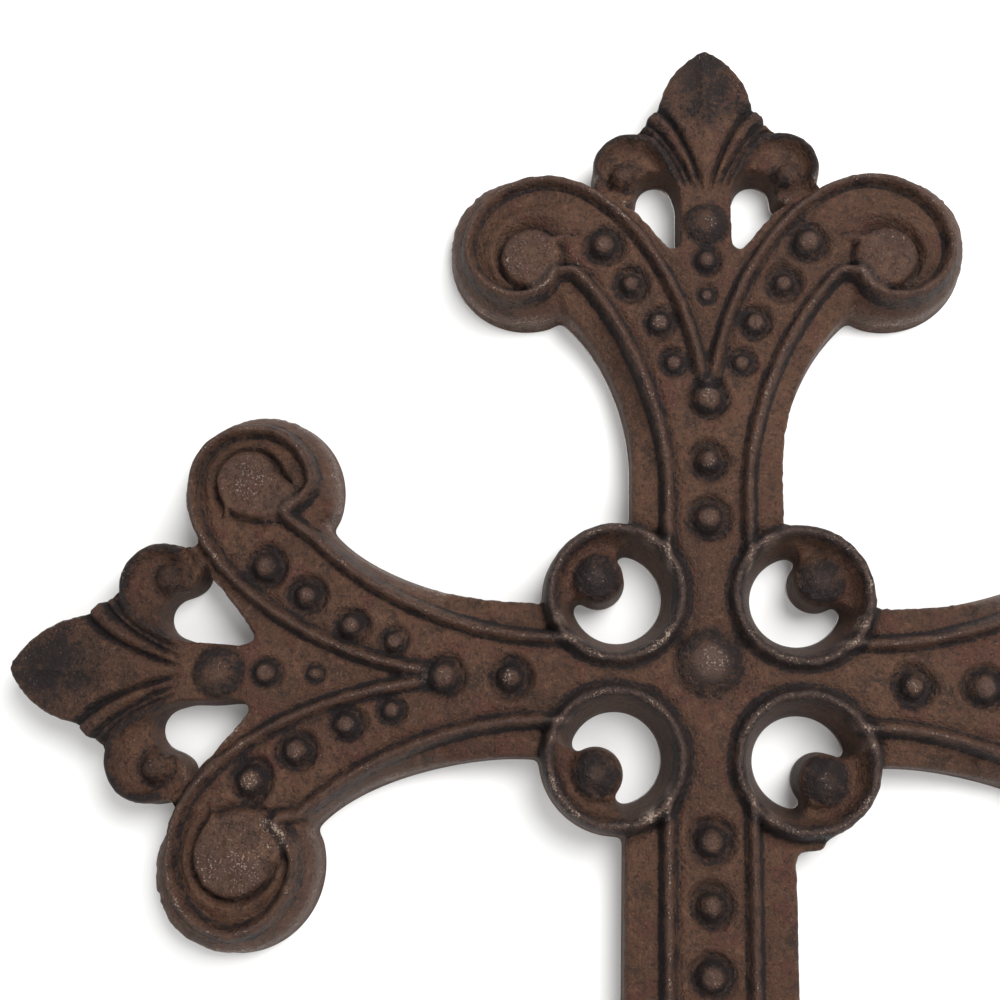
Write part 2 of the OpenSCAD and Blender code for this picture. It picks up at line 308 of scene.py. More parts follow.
def half_finial(h):
    """Neck, side curl and leaf."""
    e = h.e
    neck, root = NECK * e.k, (ROOT_AT[0] * e.k, e.base + ROOT_AT[1])
    stem = [(0, e.base - NECK_L), (neck, e.base - NECK_L), (neck, e.base - 1), root]
    curl = arc(e.on_finial(CURL_AT), CURL_R * e.k, -20, 100, 30)
    tuck = bez(*map(e.on_finial, (*TUCK_BEND, STEP_AT)), 8)
    leaf = bez(*map(e.on_finial, (STEP_AT, *LEAF_BEND, TIP)), 20)
    return np.vstack([stem, curl, tuck, leaf])


def eyelet(h):
    """The opening beside the neck of a finial."""
    e, (outer_a, inner_a) = h.e, h.e.web
    round_end = arc((HOLE_AT[0] * e.k, e.base + HOLE_AT[1]), HOLE_R * e.k, 190, 0, 24)
    along_web = bez(outer_a + (0, 2), outer_a, outer_a * 0.6 + inner_a * 0.4 + (0.5, 0.5), inner_a, 10)
    return np.vstack([round_end, along_web, [(4.3, inner_a[1] + 4), (NECK, e.base - NECK_L * e.k)]])


def ring_centre(quadrant):
    return np.array(quadrant) * (RING_X, RING_Z)


def crescent(quadrant, depth):
    """The opening of a ring round its nub, at a depth from 0 (front) to 1 (back)."""
    c = ring_centre(quadrant)
    hole = RING_R - RING_RIM
    r = hole + (RING_BACK_R - RING_R + RING_RIM) * depth
    nub = NUB_R + 0.35 * depth
    web = NUB_WEB + (NUB_WEB_BACK - NUB_WEB) * depth
    out = c / np.linalg.norm(c)
    side = np.array([-out[1], out[0]])
    a = math.degrees(math.asin(web / r)) if web < r else 80.0
    p = np.vstack([arc((0, 0), r, a, 360 - a, 70), arc((NUB_OUT, 0), nub, 275, 85, 34)])
    return c + p[:, :1] * out + p[:, 1:] * side


def area(p):
    q = np.roll(p, -1, 0)
    return 0.5 * (p[:, 0] * q[:, 1] - q[:, 0] * p[:, 1]).sum()


def union_loops(adds, cuts):
    """Boundary loops of the area that the adds cover and the cuts don't."""
    verts, faces = [], []
    for poly in adds + cuts:
        poly = poly if area(poly) > 0 else poly[::-1]
        faces.append(list(range(len(verts), len(verts) + len(poly))))
        verts += [Vector(q) for q in poly]
    co, _, tris, _, _, who = geometry.delaunay_2d_cdt(verts, [], faces, 1, 1e-5)
    edges = {}
    for tri, names in zip(tris, who):
        if any(f < len(adds) for f in names) and not any(f >= len(adds) for f in names):
            (ax, ay), (bx, by), (cx, cy) = (co[i] for i in tri)
            order = tri if (bx - ax) * (cy - ay) > (by - ay) * (cx - ax) else tri[::-1]
            for i in range(3):
                edges[(order[i], order[(i + 1) % 3])] = True
    after = dict((a, b) for a, b in edges if (b, a) not in edges)
    loops = []
    while after:
        a = next(iter(after))
        loop = [a]
        b = after.pop(a)
        while b != a:
            loop.append(b)
            b = after.pop(b)
        loops.append(np.array([co[i][:2] for i in loop], float))
    return loops


def outline():
    """Boundary loops of the front: its outer edge, the eyelets and the ring openings."""
    adds, cuts = [], []
    for e in ENDS:
        for half in e.halves:
            adds += [e.plan(part(half) * (half.sign, 1)) for part in (half_base, half_crotch, half_finial)]
            cuts.append(e.plan(eyelet(half) * (half.sign, 1)))
        adds.append(e.plan(lobe(e)))
    for quadrant in QUADRANTS:
        adds.append(arc(ring_centre(quadrant), RING_R + RING_SKIRT, 0, 355, 71))
        cuts.append(crescent(quadrant, 0.0))
    adds.append(np.array(LEDGE) + (RING_X, -RING_Z))
    return [loop for loop in union_loops(adds, cuts) if abs(area(loop)) > SCRAP]


def in_a_ring(loop):
    """Whether a loop is a ring's opening, and so not an eyelet."""
    return any(np.hypot(*(loop.mean(0) - ring_centre(q))) < RING_R / 2 for q in QUADRANTS)


# ---------------------------------------------------------------- walls
def soften(p, rounds=3):
    """Rounds the corners of a loop."""
    for _ in range(rounds):
        p = 0.25 * np.roll(p, 1, 0) + 0.5 * p + 0.25 * np.roll(p, -1, 0)
    return p


def blunt(p, gap, span=18):
    """Cut off the slivers of a loop that are narrower than a gap."""
    n, skip = len(p), set()
    for i in range(n):
        for j in range(span, 2, -1):
            if np.hypot(*(p[i] - p[(i + j) % n])) < gap:
                skip.update((i + m) % n for m in range(1, j))
                break
    return p[[i for i in range(n) if i not in skip]]


def clean(loop, gap):
    """A loop with even points, soft corners and no slivers."""
    return soften(resample(blunt(resample(loop, STEP, True), gap), STEP, True))


def loop_normals(p):
    """Unit normals that point away from the iron, for a loop with the iron on its left."""
    t = np.roll(p, -1, 0) - np.roll(p, 1, 0)
    t /= np.maximum(np.linalg.norm(t, axis=1), 1e-9)[:, None]
    return np.stack([t[:, 1], -t[:, 0]], 1)


def wall_rows(loop, out, wobble):
    """Plan rows of a wall, from its top edge out to the loop at the back, drafted over a distance."""
    n = loop_normals(loop)
    off_ring = [np.abs(np.hypot(*(loop - ring_centre(q)).T) - RING_R - RING_SKIRT) for q in QUADRANTS]
    out = out + 0.5 * smooth(1.2, 0.2, np.min(off_ring, 0)) + 0.1 * np.abs(ripple(loop, 2.2, 41))
    rows = []
    for i in range(WALL_ROWS + 1):
        row = loop + n * (out[:, None] * (i / WALL_ROWS - 1))
        if 0 < i < WALL_ROWS:
            dents = [wobble * (0.5 + noise.noise(Vector((x * 0.5, y * 0.5, i * 3.1)))) for x, y in loop]
            row = row - n * np.array(dents)[:, None]
        rows.append(row)
    return rows


def ring_wall_rows(quadrant):
    """Plan rows of the wall of a ring's opening, which narrows to the back."""
    rows = [soften(crescent(quadrant, i / WALL_ROWS)[::-1], 5) for i in range(WALL_ROWS + 1)]
    return [row if area(row) < 0 else row[::-1] for row in rows]


def all_walls():
    """Plan rows of every wall: the outer edge, the eyelets and the ring openings."""
    loops = outline()
    made = [wall_rows(clean(loop, 0.85), DRAFT, 0.12) for loop in loops if area(loop) > 0]
    for loop in loops:
        if area(loop) < 0 and not in_a_ring(loop):
            loop = clean(loop, 1.4)
            made.append(wall_rows(loop + loop_normals(loop) * EYELET_DRAFT, EYELET_DRAFT, 0.06))
    return made + [ring_wall_rows(q) for q in QUADRANTS]


walls = all_walls()
edge = Near([rows[0] for rows in walls], 0.2, closed=True)


# ---------------------------------------------------------------- relief
class Carving:
    """The lines and features of one half of an end, in its own half plan."""

    def __init__(self, half):
        e = half.e
        self.half, self.e = half, e
        start = -125 if e.sideways else -145
        self.line = np.vstack([[(FIELD_W / 2, 8.0), (FIELD_W / 2, e.v - 21.5)], half.rim_out(),
                               half.coil(start, 3.0), half.rim_in()[1:]])
        self.field = np.vstack([[(-1, 0), (FIELD_W / 2, 0)], self.line[1:], [(-1, e.v - 1)]])
        self.rim = Near([self.line], 0.16)
        self.crotch = half_crotch(half) - (1, 0) * (half_crotch(half)[:, :1] < 0.01)
        self.under = half_base(half)[::2]
        self.ribs = [bez(*map(e.on_finial, g), 16) for g in GROOVES]
        self.grooves = Near(self.ribs, 0.15)
        self.scroll, self.ball = map(e.on_finial, (CURL_AT, BALL_AT))
        around = arc(self.scroll, TUBE_R * e.k, 108, -25, 24)
        self.tube_line = np.vstack([inset(self.ribs[-1], 0.95 * e.k)[::-1], around])
        self.tube = Near([self.tube_line], 0.15)


CARVINGS = [Carving(h) for e in ENDS for h in e.halves]
ROW_BEADS = ((1.5, 3.1, 0.75), (1.75, 3.6, 1.0), (2.0, 4.1, 1.25), (2.25, 4.5, 1.35))   # bead, pit, pit depth
NECK_BEADS = ((0.50, 1.2, 2.3, 0.6, 1.7), (0.745, 1.8, 3.2, 1.0, 1.15))   # place on the neck, the same, drop
LOW_GROUND = THICK - 2.05                # between the branches of a fork


def beads_of(e):
    """(a, u, bead radius, pit radius, pit depth, bead top) of every bead of a half end."""
    out = [(a, u, BEAD_R, 4.4, 1.35, THICK - 0.3) for a, u in e.stem_beads()]
    a, u, r, *rest = out[-1]
    out[-1] = (a, u, r * 1.12, *rest)
    for i, ((a, u), size) in enumerate(zip(e.row_beads(), ROW_BEADS)):
        out.append((a, u, *size, THICK - 0.85 + 0.15 * i))
    gap = e.base - KNOB_BACK - e.v
    return out + [(0.0, e.v + gap * t, *size, THICK - drop) for t, *size, drop in NECK_BEADS]


class Patch:
    """Points of one half end, with the height, the worn spots with their painted sheen, and soot being worked
    out there.
    """

    def __init__(self, c, q, edge_gap, wobble):
        self.c, self.half, self.e, self.k = c, c.half, c.e, c.e.k
        self.q, self.a, self.u = q, q[:, 0], q[:, 1]
        self.wear, self.soot = np.zeros(len(q)), np.zeros(len(q))
        self.rough, self.uneven = ripple(q, 1.7, 5), ripple(q, 8.0, 4)
        moved = q + wobble
        gap, _ = c.rim.find(moved)
        s = np.where(inside(moved, c.field), gap, -gap)
        self.s = np.where(self.u < 8.5, 3.0, s)          # distance in from the outer edge of the rims
        self.on_arm = smooth(8, 11, self.u)              # 0 at the crossing, where the rims stop
        self.band = edge_gap - np.minimum(self.s, 0)     # width of the shelf outside the rims
        self.wide = smooth(2.4, 4.8, self.band)
        self.in_crotch = (self.s < 0) & (self.u > self.e.v - 1) & inside(q, c.crotch)
        shelf = self.shelf()
        ground = self.ground()
        self.h = np.where(self.in_crotch, LOW_GROUND, np.where(self.s >= 0, ground, shelf))
        for carve in (self.beads, self.eye, self.rims, self.finial, self.knob):
            carve()

    def shelf(self):
        """Outside the rims: a shelf beside the arms, a steep side round the scrolls."""
        s, band, wide = self.s, self.band, self.wide
        foot = SHOULDER * wide + (THICK - 7.4) * (1 - wide)
        rise = np.clip(1 + s / np.maximum(band, 0.3), 0, 1)
        # painted light: the steep side round the scrolls is lifted to the lighter sheen tint, as if lit from
        # below
        self.wear += 0.6 * (1 - wide) * smooth(-1.0, -1.8, s)
        return foot + (THICK - 2.3 - foot) * np.where(wide > 0.5, rise ** 2.2, rise ** 0.8)

    def ground(self):
        """Sunk ground between the rims, and the channel that runs round a scroll's flat eye."""
        a, u, s, half = self.a, self.u, self.s, self.half
        ridge = smooth(8, 12, u) * smooth(self.e.bead_start - 2, self.e.bead_start - 5, u)
        ground = FIELD - 0.3 * smooth(3.4, 1.6, s) + 0.35 * bell(a, 1.9) * ridge
        self.re = re = np.hypot(a - half.eye[0], u - half.eye[1])
        th = np.degrees(np.arctan2(u - half.eye[1], a - half.eye[0]))
        coil_r = np.exp(np.interp(np.where(th > 150, th - 360, th), COIL_TURN, np.log(half.radii)))
        # the rim widens into the eye at the end of its turn
        spread = np.where(th < 0, smooth(-70, -125, th), smooth(130, 180, th))
        self.eye_r = eye_r = half.eye_r + np.maximum(coil_r - 0.35 - half.eye_r, 0) * spread
        span = np.maximum(s - RIM_W + re - eye_r, 0.4)
        f = np.clip((s - RIM_W) / span, 0, 1)            # 0 at the rim, 1 at the eye
        on_turn = np.where(th > 0, smooth(150, 105, th), smooth(-165, -140, th))
        turn = smooth(16.5, 11.5, re) * on_turn * smooth(0.8, 3.0, span)
        lip = 0.70 * bell(f - 0.60, 0.15) - 0.95 * smooth(0.62, 0.9, f)
        lip = lip - 0.45 * np.sin(np.pi * np.minimum(f / 0.6, 1))
        ground = ground + turn * lip * (s > 0)
        beside_eye = smooth(RIM_W - 0.3, RIM_W + 0.4, s)
        self.soot += (0.75 - 0.25 * turn) * bell(re - eye_r - 0.5, 0.55) * beside_eye
        self.soot += 0.2 * turn * smooth(0.66, 0.9, f) * (s > 0)
        return ground - (1.0 - 0.35 * turn) * bell(re - eye_r - 0.6, 0.6) * beside_eye

    def beads(self):
        """Beads in pits, each a little off its place and size."""
        open_ground = (self.s > 0.8) | self.in_crotch
        for ba, bu, br, pr, pd, top in beads_of(self.e):
            slip = ripple(self.e.plan([(ba * self.half.sign, bu)]), 5.0, 61)[0]
            br, top = br * (1 + 0.08 * slip), top + 0.12 * slip
            r = np.hypot(self.a - ba + 0.25 * slip * (ba > 0), self.u - bu - 0.25 * slip)
            rr = r * (1 + 0.06 * self.uneven)
            pit = smooth(1.02, 0.58, rr / pr)
            self.h = np.where(open_ground, self.h - pd * pit + 0.16 * bell(rr - pr - 0.1, 0.5), self.h)
            floor = (LOW_GROUND if self.in_crotch[r < br].any() else FIELD) - pd - 0.2
            bead = floor + (top - floor) * dome(rr, br * 1.25, 2.6) ** 0.8 + 0.17 * self.rough
            self.h = np.where(rr < br * 1.25, np.maximum(self.h, bead), self.h)
            self.soot += 0.72 * smooth(1.04, 0.70, rr / pr) * smooth(0.55, 1.0, rr / br) + 0.42 * (rr < br)
            self.wear += 0.75 * smooth(br * 0.95, br * 0.4, rr)

    def eye(self):
        """Flat grainy eye of a scroll."""
        re, eye_r = self.re, self.eye_r
        flat = THICK - 0.4 + 0.15 * self.rough - 1.6 * np.clip((re - eye_r + 0.55) / 0.9, 0, 1) ** 2
        self.h = np.where(re < eye_r + 0.35, np.maximum(self.h, flat), self.h)
        self.soot += 0.16 * smooth(eye_r + 0.2, eye_r - 0.6, re)
        self.wear += 0.55 * smooth(eye_r + 0.1, eye_r - 0.8, re)

    def rims(self):
        """Raised rims with a fine groove at each foot, brought to a point in the fork."""
        s, wide, on_arm = self.s, self.wide, self.on_arm
        point = 0.8 * np.clip(self.e.v + 0.3 - self.u, 0, 3) * (self.a < 3) * (s > 0)
        off = np.abs(s - RIM_W / 2)                      # from the middle of the rim
        rim = THICK - 0.12 - 1.6 * (off / (RIM_W / 2 + 0.15)) ** 2.4 - point + 0.08 * self.rough
        grooved = self.h - 0.5 * bell(s - RIM_W - 0.5, 0.42) - 0.35 * bell(s + 0.6, 0.45)
        self.h = np.where(on_arm > 0.5, grooved, self.h)
        self.h = np.where((on_arm > 0.5) & (off < RIM_W * 0.85), np.maximum(self.h, rim), self.h)
        self.soot += on_arm * (0.45 * bell(s - RIM_W / 2, 0.9) + 0.75 * bell(s - RIM_W - 0.4, 0.4)
                               + 1.05 * bell(s + 0.3 + 0.1 * wide, 0.24 + 0.18 * wide))
        self.wear += on_arm * 0.72 * bell(s - RIM_W / 2, 0.5)

    def finial(self):
        """Fluted leaf with a tube and a ball curling at each side."""
        c, k, s = self.c, self.k, self.s
        v, an = (self.u - self.e.base) / k, self.a / k
        here = (s < -0.4) & (((v > -7.5) & ~inside(self.q, c.under)) | (v > 3.5))
        if not here.any():
            return
        side_w = np.interp(v, *zip(*LEAF_W))
        leaf = THICK - 1.9 - 0.2 * smooth(16, 26, v) - 0.8 * smooth(4, -6, v)
        leaf = leaf - 0.55 * np.sin(np.pi * np.clip(an / side_w, 0, 1)) * smooth(2, 9, v) * smooth(25, 20, v)
        leaf = leaf + 0.45 * bell(an, 0.6) * smooth(24, 19, v) * smooth(1, 6, v)
        dt, _ = c.tube.find(self.q)
        dg, _ = c.grooves.find(self.q)
        dt, dg = dt / k, dg / k
        rb = np.hypot(self.a - c.ball[0], self.u - c.ball[1]) / k
        rs = np.hypot(self.a - c.scroll[0], self.u - c.scroll[1]) / k
        hollow = THICK - 4.0 - 0.4 * bell(dt - 1.4, 0.6) - 0.5 * bell(rb - 2.7, 0.7)
        hollow = np.maximum(hollow, THICK - 2.0 - 1.5 * (dt / 1.05) ** 2.2)
        hollow = np.maximum(hollow, np.where(rb < BALL_R, THICK - 4.4 + 2.5 * np.sqrt(dome(rb, BALL_R)), -9))
        far_corners = [(25 * k, self.e.base - 3), (6.5 * k, self.e.base - 6)]
        past_tube = inside(self.q, np.vstack([c.tube_line, far_corners]))
        curl = (rs < CURL_R + 0.1) & (dt < 9) & ((an > 9.9) | past_tube)
        curl |= (dt < 0.9) & (v > 0.3)
        fan = smooth(15.5, 14, v) * smooth(-3.0, 2.0, v)
        leaf = leaf + fan * (0.35 * bell(dg - 1.1, 0.6) - 1.25 * bell(dg, 0.48))
        self.h = np.where(here, np.where(curl, hollow, leaf), self.h)
        dark_tip = smooth(6, 14, v) * (0.42 + 0.35 * bell(an - 1.5, 2.2) + 0.07 * ripple(self.q, 9.0, 21))
        on_curl = 0.9 * bell(dt, 0.8) + 0.6 * bell(rb - 2.8, 0.6) + 0.5 * (rb < 2.2)
        self.soot += np.where(here, 0.85 * bell(dg, 0.6) * fan * ~curl + dark_tip * ~curl + curl * on_curl, 0)
        # worn spots at the ball and the tube, and a painted sheen on the upper leaf; all of it lifts the
        # colour to the lighter sheen tint
        rubbed_and_sheen = 0.35 * smooth(2.2, 0.6, rb) + 0.30 * bell(dt, 0.5) * curl + 0.3 * smooth(12, 20, v)
        self.wear += np.where(here, rubbed_and_sheen, 0)

    def knob(self):
        """Round knob at the neck of the finial."""
        s, r = self.s, np.hypot(self.a, self.u - (self.e.base - KNOB_BACK)) / self.k
        knob = THICK - 0.9 - 2.4 * (1 - np.sqrt(dome(r, KNOB_R))) + 0.05 * self.rough
        self.h = np.where((r < KNOB_R - 0.1) & (s < 0), knob, self.h)
        self.soot += np.where(s < 0, 0.75 * smooth(4.6, 3.6, r) * (1 - 0.5 * smooth(2.8, 1.2, r)), 0)
        self.wear += np.where(s < 0, 0.5 * smooth(2.8, 1.0, r), 0)


def carve_ring(p, wobble, rough, quadrant, h, wear, soot):
    """Raised ring and its nub. Adds to the worn spots with their painted sheen and to soot, and returns the
    new height.
    """
    c = ring_centre(quadrant)
    out = c / np.linalg.norm(c)
    r = np.hypot(*(p + wobble - c).T)
    rn = np.hypot(*(p - c - NUB_OUT * out).T)
    near, inner, g = r < RING_R + 3.2, r < RING_R - RING_RIM * 0.6, r - (RING_R - RING_RIM / 2)
    h = np.where(near & (r > RING_R), h - 0.6 * bell(r - RING_R - 0.6, 0.55), h)
    web = THICK - 3.6 - 0.5 * smooth(3.2, 5.5, rn)
    web = web + 2.0 * smooth(RING_R - RING_RIM - 2.0, RING_R - RING_RIM + 0.3, r)
    nub = THICK - 1.75 - 2.6 * (1 - np.sqrt(dome(rn, NUB_R + 0.35)))
    nub = nub + 0.17 * rough + 0.12 * ripple(p, 4.0, 31)
    h = np.where(inner, np.maximum(web, np.where(rn < NUB_R + 0.25, nub, -9)), h)
    rim = THICK - 0.1 - 1.9 * (np.abs(g) / (RING_RIM / 2 + 0.1)) ** 3.0 + 0.09 * rough
    h = np.where(near & (np.abs(g) < RING_RIM * 0.75), np.maximum(h, rim), h)
    soot += np.where(near, 1.0 * bell(g, 1.25) + 0.7 * bell(r - RING_R - 0.5, 0.55), 0)
    wear += np.where(near, 0.78 * bell(g, 0.75), 0)
    soot += np.where(inner, 0.85 * smooth(NUB_R + 0.6, NUB_R - 1.2, rn), 0)
    wear += np.where(inner, 0.55 * smooth(2.6, 0.8, rn), 0)
    return h


def relief(p):
    """Height of the front above the back, worn spots with their painted sheen, and soot, for plan points."""
    d_edge, _ = edge.find(p)
    h = np.full(len(p), SHOULDER)
    wear, soot = np.zeros(len(p)), np.zeros(len(p))
    upright = np.abs(p[:, 1]) >= np.abs(p[:, 0])
    which = np.where(upright, np.where(p[:, 1] > 0, "top", "foot"), np.where(p[:, 0] < 0, "left", "right"))
    wobble = np.stack([ripple(p, 3.4, 1), ripple(p, 3.4, 2)], 1) * 0.06
    for c in CARVINGS:
        own = c.e.own(p)
        m = np.nonzero((which == c.e.name) & ((own[:, 0] >= 0) == (c.half.sign > 0)))[0]
        if len(m):
            patch = Patch(c, own[m] * (c.half.sign, 1), d_edge[m], wobble[m])
            h[m], wear[m], soot[m] = patch.h, patch.wear, patch.soot
    rough = ripple(p, 1.7, 6)
    for quadrant in QUADRANTS:
        h = carve_ring(p, wobble, rough, quadrant, h, wear, soot)
    # boss in a shallow ring
    r = np.hypot(p[:, 0], p[:, 1] - BOSS_UP)
    boss = THICK - 0.05 - 2.3 * (1 - np.sqrt(dome(r, BOSS_R + 0.5))) + 0.06 * rough
    h = np.where(r < 9, h - 0.55 * bell(r - 6.0, 1.0), h)
    h = np.where(r < BOSS_R + 0.4, np.maximum(h, boss), h)
    soot += 0.7 * smooth(7.4, 4.4, r)
    # the boss's top: bare specks and a painted highlight through the lighter sheen tint
    wear += 1.0 * smooth(4.8, 1.0, r)
    # uneven cast skin
    h = h + 0.06 * ripple(p, 8.0, 11) + 0.05 * ripple(p, 2.8, 12) + 0.045 * ripple(p, 1.5, 13)
    soot += 0.10 * ripple(p, 4.0, 14) * smooth(0.2, 0.6, soot)
    # rounded edges
    t = np.clip(1 - d_edge / EDGE_R, 0, 1)
    h = h - EDGE_R * 0.9 * (1 - np.sqrt(np.clip(1 - t ** 2, 0, 1)))
    wear += 0.3 * smooth(0.8, 0.1, d_edge)
    return np.minimum(h, THICK - 0.01), np.clip(wear, 0, 1.4), np.clip(soot, 0, 1.3)


# ---------------------------------------------------------------- plan points
class Points:
    """Plan points that keep a distance from each other."""

    def __init__(self, cell):
        self.cell, self.grid, self.out = cell, {}, []

    def square(self, x, y):
        return int(math.floor(x / self.cell)), int(math.floor(y / self.cell))

    def crowded(self, x, y, gap):
        i, j = self.square(x, y)
        n = int(math.ceil(gap / self.cell))
        for di in range(-n, n + 1):
            for dj in range(-n, n + 1):
                for qx, qy in self.grid.get((i + di, j + dj), ()):
                    if (qx - x) ** 2 + (qy - y) ** 2 < gap * gap:
                        return True
        return False

    def add(self, pts, gap=0.0):
        for x, y in pts:
            if not (gap and self.crowded(x, y, gap)):
                self.grid.setdefault(self.square(x, y), []).append((x, y))
                self.out.append((x, y))


def keep_inside(cand, margin):
    """The candidates that lie on the iron and at least a margin from its edge."""
    cand = np.asarray(cand, float)
    d, idx = edge.find(cand)
    t = edge.t[idx]
    off = cand - edge.p[idx]
    left = t[:, 0] * off[:, 1] - t[:, 1] * off[:, 0]
    return cand[(d > margin) & (left > 0)]


def circle(centre, r, step, end=350):
    """Points round a circle, which stop short of its start."""
    r = max(r, 0.01)
    return arc(centre, r, 0, end, max(2, int(2 * math.pi * r / step)))


def crossing_rows():
    """Rows of points round the rings and the boss, each with the gap it keeps from the points before it."""
    rows = []
    hole = RING_R - RING_RIM
    for c in map(ring_centre, QUADRANTS):
        radii = [hole + 0.2, hole + 0.55, RING_R - RING_RIM / 2]
        radii += [RING_R + d for d in (-0.6, -0.25, 0.1, 0.6, 1.2)]
        rows += [(0.24, circle(c, r, 0.7, 359)) for r in radii]
        rows += [(0.2, circle(c, r, 0.6, 359)) for r in (hole - 0.12, hole + 0.02)]
    for r in (0.0, 0.7, 1.4, 2.1, 2.8, 3.4, 4.0, 4.5, 4.9, 5.3, 5.9, 6.6):
        rows.append((0.3, circle((0, BOSS_UP), r, 0.7, 355)))
    return rows


def rim_rows(c):
    """Rows along the rims of one half end."""
    base = resample(c.line, 0.7)
    for d in (-1.0, -0.5, -0.05, 0.3, RIM_W / 2, 1.4, 1.75, 2.15, 2.8):
        line = inset(base, d)
        yield 0.27, line[line[:, 0] > 0.12]


def detail_rows(c):
    """Rows along the flutes and tube of one half end, and round its eye, ball, knob and beads."""
    e = c.e
    for g in c.ribs:
        for d in (-1.1, -0.5, -0.22, 0.0, 0.22, 0.5, 1.1):
            yield 0.2, inset(resample(g, 0.5), d)
    for d in (-1.5, -0.9, -0.45, 0.0, 0.45, 0.9, 1.5):
        yield 0.25, inset(resample(c.tube_line, 0.55), d)
    rounds = [(c.half.eye, c.half.eye_r + d, 0.62) for d in (-1.0, -0.5, -0.15, 0.15, 0.45, 0.85, 1.4, 2.0)]
    rounds += [(c.ball, r * e.k, 0.55) for r in (0.0, 0.7, 1.3, 1.8, 2.2, 2.5, 3.0)]
    rounds += [((0, e.base - KNOB_BACK), r * e.k, 0.62) for r in (0.0, 0.8, 1.6, 2.3, 2.9, 3.5, 4.0, 4.3)]
    for a, u, bead, pit, _, _ in beads_of(e):
        radii = [0.0, 0.6] + [bead * f for f in (0.65, 0.95, 1.12, 1.27)]
        radii += [pit * f for f in (0.62, 0.74, 0.87)] + [pit, pit + 0.35]
        rounds += [((a, u), r, 0.62) for r in radii]
    for centre, r, step in rounds:
        line = circle(centre, r, step)
        yield 0.27, line[line[:, 0] > -0.05]


def nub_rows():
    """Rows round the nubs."""
    for c in map(ring_centre, QUADRANTS):
        for r in (0.0, 0.6, 1.2, 1.8, 2.4, 3.0, 3.5, 3.9, 4.2, 4.6):
            yield 0.27, circle(c + NUB_OUT * c / np.linalg.norm(c), r, 0.6)


def even_fill():
    """Points in staggered rows over the whole plan, but not over the empty areas beside the foot arm."""
    xs = np.arange(-SIDE_ARM, SIDE_ARM, FILL)
    zs = np.arange(-FOOT_ARM, TOP_ARM, FILL * 0.866)
    gx, gz = np.meshgrid(xs, zs)
    gx = gx + (np.arange(len(zs)) % 2)[:, None] * FILL / 2
    x, z = gx.ravel(), gz.ravel()
    empty = (np.abs(x) > FOOT_W / 2) & (z < -SIDE_END_LOW) & (z > FOOT_END_HIGH - FOOT_ARM)
    return np.stack([x, z], 1)[~empty]


def lay_points():
    """Plan points of the front: those of the walls' top edges first, then the fine detail, then the rest."""
    points = Points(0.45)
    tops = [rows[0] for rows in walls]
    points.add(np.vstack(tops))
    beside_edge = [top - loop_normals(top) * d for top in tops for d in (0.3, 0.7)]
    points.add(keep_inside(np.vstack(beside_edge), 0.22), 0.28)
    rows = crossing_rows()[::-1]
    for make in (rim_rows, detail_rows):
        rows += [(gap, c.e.plan(line * (c.half.sign, 1))) for c in CARVINGS for gap, line in make(c)]
    for gap, line in rows + list(nub_rows()):
        points.add(keep_inside(line, 0.3), gap)
    points.add(keep_inside(even_fill(), 0.5), 0.5)
    return points.out


# ---------------------------------------------------------------- mesh: front, walls, hanging hole, back
class Body:
    """Points and faces of the cross, with the worn spots and painted sheen, and the soot, of each point."""

    def __init__(self):
        self.verts, self.faces, self.wear, self.soot = [], [], [], []

    def add(self, plan, heights, wear, soot):
        """Adds points at heights above the back, and gives back their indices."""
        start = len(self.verts)
        self.verts += [(x, -h, z) for (x, z), h in zip(plan, heights)]
        self.wear += list(wear)
        self.soot += list(soot)
        return list(range(start, len(self.verts)))


def loop_edges(loops):
    """Edges round closed loops whose points follow each other in one list."""
    edges, first = [], 0
    for n in map(len, loops):
        edges += [(first + i, first + (i + 1) % n) for i in range(n)]
        first += n
    return edges


def triangulate(plan, edges):
    """Corner points, the index of each among the given ones (or -1), and triangles that keep the edges."""
    co, _, tris, orig, _, _ = geometry.delaunay_2d_cdt([Vector(q) for q in plan], edges, [], 0, 1e-6)
    given = np.array([o[0] if len(o) else -1 for o in orig])
    return np.array([tuple(c) for c in co]), given, np.array([t for t in tris if len(t) == 3])


def within(mid, loops):
    """Which points are inside an odd number of loops."""
    hit = np.zeros(len(mid), bool)
    for loop in loops:
        hit ^= inside(mid, loop)
    return hit


def turned(plan, tris, sign):
    """The triangles, all turning the same way."""
    ab, ac = plan[tris[:, 1]] - plan[tris[:, 0]], plan[tris[:, 2]] - plan[tris[:, 0]]
    wrong = (ab[:, 0] * ac[:, 1] - ab[:, 1] * ac[:, 0]) * sign < 0
    tris[wrong] = tris[wrong][:, ::-1]
    return tris


def front_face(body):
    """The relief. Gives back the points of each wall's top edge."""
    tops = [rows[0] for rows in walls]
    plan, given, tris = triangulate(lay_points(), loop_edges(tops))
    on_edge = ((given >= 0) & (given < sum(map(len, tops))))[tris].all(1)
    keep = ~on_edge
    keep[on_edge] = within(plan[tris[on_edge]].mean(1), tops)
    body.add(plan, *relief(plan))
    body.faces += [tuple(int(i) for i in t) for t in turned(plan, tris[keep], 1)]
    index_of = {int(g): i for i, g in enumerate(given) if g >= 0}
    ids, first = [], 0
    for top in tops:
        ids.append([index_of[first + i] for i in range(len(top))])
        first += len(top)
    return ids


def side_wall(body, rows, top):
    """A wall down from its top edge. Gives back the points of its back edge."""
    n, above = len(top), top
    # painted light: outer walls made lighter through the sheen tint, walls of holes much less
    wear = OUTER_WALL_LIGHT if area(rows[0]) > 0 else HOLE_WALL_LIGHT
    for r in range(1, WALL_ROWS + 1):
        heights = [-body.verts[i][1] * (1 - r / WALL_ROWS) for i in top]
        below = body.add(rows[r], heights, [BACK_EDGE_WEAR_AND_SHEEN if r == WALL_ROWS else wear] * n, [0.0] * n)
        body.faces += [(above[i], below[i], below[(i + 1) % n], above[(i + 1) % n]) for i in range(n)]
        above = below
    return above


